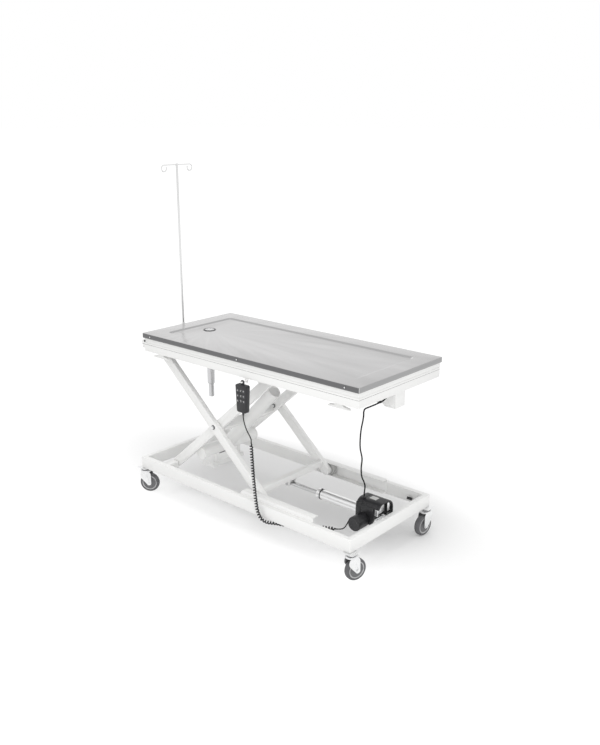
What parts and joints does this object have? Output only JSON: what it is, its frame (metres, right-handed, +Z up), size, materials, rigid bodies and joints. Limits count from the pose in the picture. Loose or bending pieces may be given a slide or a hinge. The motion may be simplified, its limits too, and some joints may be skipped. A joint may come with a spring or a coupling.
{
  "type": "veterinary surgery table",
  "caption": "Electric veterinary surgery table: stainless drain top that tilts on a scissor lift, wheeled base, drip pole, wired handset.",
  "frame": {"origin": "on the floor, under the middle of the table's outline without its cords", "axes": "+X from the drain end to the motor end, +Y from the handset side to the back, +Z up"},
  "size_m": [1.4282, 0.6462, 1.663],
  "materials": {
    "white_paint": "white powder coat, semi-gloss",
    "stainless": "satin brushed stainless steel",
    "zinc": "bright zinc-plated pressed steel",
    "steel": "bare bright steel",
    "grey_rubber": "grey solid rubber",
    "black_plastic": "black moulded plastic",
    "dark_nylon": "dark nylon",
    "black_cord": "black soft cord jacket"
  },
  "bodies": {
    "base": {"base_frame": "white_paint", "roller_track_front": "white_paint", "roller_track_rear": "white_paint", "actuator_rear_bracket": "zinc", "caster_plate_front_left": "zinc", "caster_plate_front_right": "zinc", "caster_plate_rear_left": "zinc", "caster_plate_rear_right": "zinc", "motor_lead": "black_cord", "handset_coil": "black_cord", "tilt_cable_rise": "black_cord"},
    "lift_actuator": {"lift_gear_housing": "black_plastic", "lift_motor": "black_plastic", "lift_tube": "stainless"},
    "inner_arms": {"inner_arm_front": "white_paint", "inner_arm_rear": "white_paint", "inner_cross_frame": "white_paint", "control_box": "white_paint"},
    "outer_arms": {"outer_arm_front": "white_paint", "outer_arm_rear": "white_paint", "outer_crossbar": "white_paint", "lift_rod_pin": "steel"},
    "lift_rod": {"lift_rod": "steel"},
    "lift_frame": {"lift_frame": "white_paint", "handset_hook": "white_paint", "tilt_bracket": "white_paint", "tilt_actuator": "black_plastic", "pole_socket": "white_paint", "handset_case": "black_plastic", "handset_lead": "black_cord", "tilt_cable_run": "black_cord"},
    "tilt_top": {"tilt_frame": "white_paint", "steel_top": "stainless", "drain_flange": "stainless", "drain_pipe": "stainless"},
    "tilt_lever": {"tilt_lever": "steel"},
    "tilt_roller": {"tilt_roller": "dark_nylon"},
    "tilt_rod": {"tilt_rod": "steel"},
    "drain_strainer": {"drain_strainer": "stainless"},
    "iv_pole": {"iv_pole": "stainless"},
    "pole_knob": {"pole_knob": "black_plastic"},
    "lower_roller_front": {"lower_roller_front": "dark_nylon"},
    "upper_roller_front": {"upper_roller_front": "dark_nylon"},
    "lower_roller_rear": {"lower_roller_rear": "dark_nylon"},
    "upper_roller_rear": {"upper_roller_rear": "dark_nylon"},
    "caster_fork_front_left": {"caster_fork_front_left": "zinc"},
    "caster_wheel_front_left": {"caster_wheel_front_left": "grey_rubber"},
    "caster_fork_front_right": {"caster_fork_front_right": "zinc"},
    "caster_wheel_front_right": {"caster_wheel_front_right": "grey_rubber"},
    "caster_fork_rear_left": {"caster_fork_rear_left": "zinc"},
    "caster_wheel_rear_left": {"caster_wheel_rear_left": "grey_rubber"},
    "caster_fork_rear_right": {"caster_fork_rear_right": "zinc"},
    "caster_wheel_rear_right": {"caster_wheel_rear_right": "grey_rubber"},
    "key_top_up": {"key_top_up": "dark_nylon"},
    "key_top_down": {"key_top_down": "dark_nylon"},
    "key_middle_up": {"key_middle_up": "dark_nylon"},
    "key_middle_down": {"key_middle_down": "dark_nylon"},
    "key_bottom_up": {"key_bottom_up": "dark_nylon"},
    "key_bottom_down": {"key_bottom_down": "dark_nylon"}
  },
  "joints": [
    {"name": "lift", "type": "hinge", "parent": "base", "child": "inner_arms", "pos_m": [-0.52188, 0.00836, 0.18], "axis": [0, -1, 0], "range_deg": [-13.5, 0], "deforming": ["handset_coil", "tilt_cable_rise"]},
    {"name": "scissor", "type": "hinge", "parent": "inner_arms", "child": "outer_arms", "pos_m": [-0.2009, 0.00836, 0.45902], "axis": [0, -1, 0], "range_deg": [0, 27]},
    {"name": "level", "type": "hinge", "parent": "outer_arms", "child": "lift_frame", "pos_m": [-0.58682, 0.00836, 0.7945], "axis": [0, -1, 0], "range_deg": [-13.5, 0]},
    {"name": "lift_rod_pin", "type": "hinge", "parent": "outer_arms", "child": "lift_rod", "pos_m": [0.07608, 0.00836, 0.176], "axis": [0, -1, 0], "range_deg": [-12.4, 0]},
    {"name": "lift_actuator_swing", "type": "hinge", "parent": "base", "child": "lift_actuator", "pos_m": [0.63012, 0.00836, 0.176], "axis": [0, -1, 0], "range_deg": [0, 1.15]},
    {"name": "tilt", "type": "hinge", "parent": "lift_frame", "child": "tilt_top", "pos_m": [-0.63388, 0.00836, 0.81995], "axis": [0, -1, 0], "range_deg": [0, 12]},
    {"name": "tilt_lever", "type": "hinge", "parent": "lift_frame", "child": "tilt_lever", "pos_m": [0.01912, 0.00836, 0.797], "axis": [0, -1, 0], "range_deg": [0, 26.5]},
    {"name": "tilt_rod", "type": "slide", "parent": "lift_frame", "child": "tilt_rod", "axis": [1, 0, 0], "range_m": [0, 0.0276]},
    {"name": "tilt_roller", "type": "hinge", "parent": "tilt_lever", "child": "tilt_roller", "pos_m": [0.56412, 0.00836, 0.8019], "axis": [0, -1, 0], "continuous": true},
    {"name": "drain_strainer", "type": "slide", "parent": "tilt_top", "child": "drain_strainer", "axis": [0, 0, 1], "range_m": [0, 0.05]},
    {"name": "pole_height", "type": "slide", "parent": "lift_frame", "child": "iv_pole", "axis": [0, 0, 1], "range_m": [0, 0.05]},
    {"name": "pole_knob", "type": "hinge", "parent": "lift_frame", "child": "pole_knob", "pos_m": [-0.66788, 0.00836, 0.8155], "axis": [1, 0, 0], "continuous": true},
    {"name": "lower_roller_front", "type": "hinge", "parent": "outer_arms", "child": "lower_roller_front", "pos_m": [0.12008, -0.22964, 0.18], "axis": [0, -1, 0], "continuous": true},
    {"name": "upper_roller_front", "type": "hinge", "parent": "inner_arms", "child": "upper_roller_front", "pos_m": [0.18502, -0.24564, 0.7945], "axis": [0, -1, 0], "continuous": true},
    {"name": "lower_roller_rear", "type": "hinge", "parent": "outer_arms", "child": "lower_roller_rear", "pos_m": [0.12008, 0.24636, 0.18], "axis": [0, -1, 0], "continuous": true},
    {"name": "upper_roller_rear", "type": "hinge", "parent": "inner_arms", "child": "upper_roller_rear", "pos_m": [0.18502, 0.26236, 0.7945], "axis": [0, -1, 0], "continuous": true},
    {"name": "swivel_front_left", "type": "hinge", "parent": "base", "child": "caster_fork_front_left", "pos_m": [-0.68388, -0.27664, 0.135], "axis": [0, 0, 1], "continuous": true},
    {"name": "wheel_front_left", "type": "hinge", "parent": "caster_fork_front_left", "child": "caster_wheel_front_left", "pos_m": [-0.66564, -0.26434, 0.05], "axis": [-0.5592, 0.829, 0], "continuous": true},
    {"name": "swivel_front_right", "type": "hinge", "parent": "base", "child": "caster_fork_front_right", "pos_m": [0.67912, -0.27664, 0.135], "axis": [0, 0, 1], "continuous": true},
    {"name": "wheel_front_right", "type": "hinge", "parent": "caster_fork_front_right", "child": "caster_wheel_front_right", "pos_m": [0.68555, -0.2556, 0.05], "axis": [-0.9563, 0.2924, 0], "continuous": true},
    {"name": "swivel_rear_left", "type": "hinge", "parent": "base", "child": "caster_fork_rear_left", "pos_m": [-0.68388, 0.29336, 0.135], "axis": [0, 0, 1], "continuous": true},
    {"name": "wheel_rear_left", "type": "hinge", "parent": "caster_fork_rear_left", "child": "caster_wheel_rear_left", "pos_m": [-0.67288, 0.27431, 0.05], "axis": [0.866, 0.5, 0], "continuous": true},
    {"name": "swivel_rear_right", "type": "hinge", "parent": "base", "child": "caster_fork_rear_right", "pos_m": [0.67912, 0.29336, 0.135], "axis": [0, 0, 1], "continuous": true},
    {"name": "wheel_rear_right", "type": "hinge", "parent": "caster_fork_rear_right", "child": "caster_wheel_rear_right", "pos_m": [0.6772, 0.27144, 0.05], "axis": [0.9962, -0.0872, 0], "continuous": true},
    {"name": "key_top_up", "type": "slide", "parent": "lift_frame", "child": "key_top_up", "axis": [0, 1, 0], "range_m": [0, 0.001], "stiffness_N_per_m": 900},
    {"name": "key_top_down", "type": "slide", "parent": "lift_frame", "child": "key_top_down", "axis": [0, 1, 0], "range_m": [0, 0.001], "stiffness_N_per_m": 900},
    {"name": "key_middle_up", "type": "slide", "parent": "lift_frame", "child": "key_middle_up", "axis": [0, 1, 0], "range_m": [0, 0.001], "stiffness_N_per_m": 900},
    {"name": "key_middle_down", "type": "slide", "parent": "lift_frame", "child": "key_middle_down", "axis": [0, 1, 0], "range_m": [0, 0.001], "stiffness_N_per_m": 900},
    {"name": "key_bottom_up", "type": "slide", "parent": "lift_frame", "child": "key_bottom_up", "axis": [0, 1, 0], "range_m": [0, 0.001], "stiffness_N_per_m": 900},
    {"name": "key_bottom_down", "type": "slide", "parent": "lift_frame", "child": "key_bottom_down", "axis": [0, 1, 0], "range_m": [0, 0.001], "stiffness_N_per_m": 900}
  ],
  "couplings": [
    {"joint": "scissor", "follows": "lift", "ratio": -2},
    {"joint": "level", "follows": "lift", "ratio": 1},
    {"joint": "lift_rod_pin", "follows": "lift", "ratio": 0.9154},
    {"joint": "lift_actuator_swing", "follows": "lift", "ratio": -0.0846},
    {"joint": "tilt_lever", "follows": "tilt", "ratio": 2.1983},
    {"joint": "tilt_rod", "follows": "tilt", "m_per_rad": 0.1307}
  ]
}
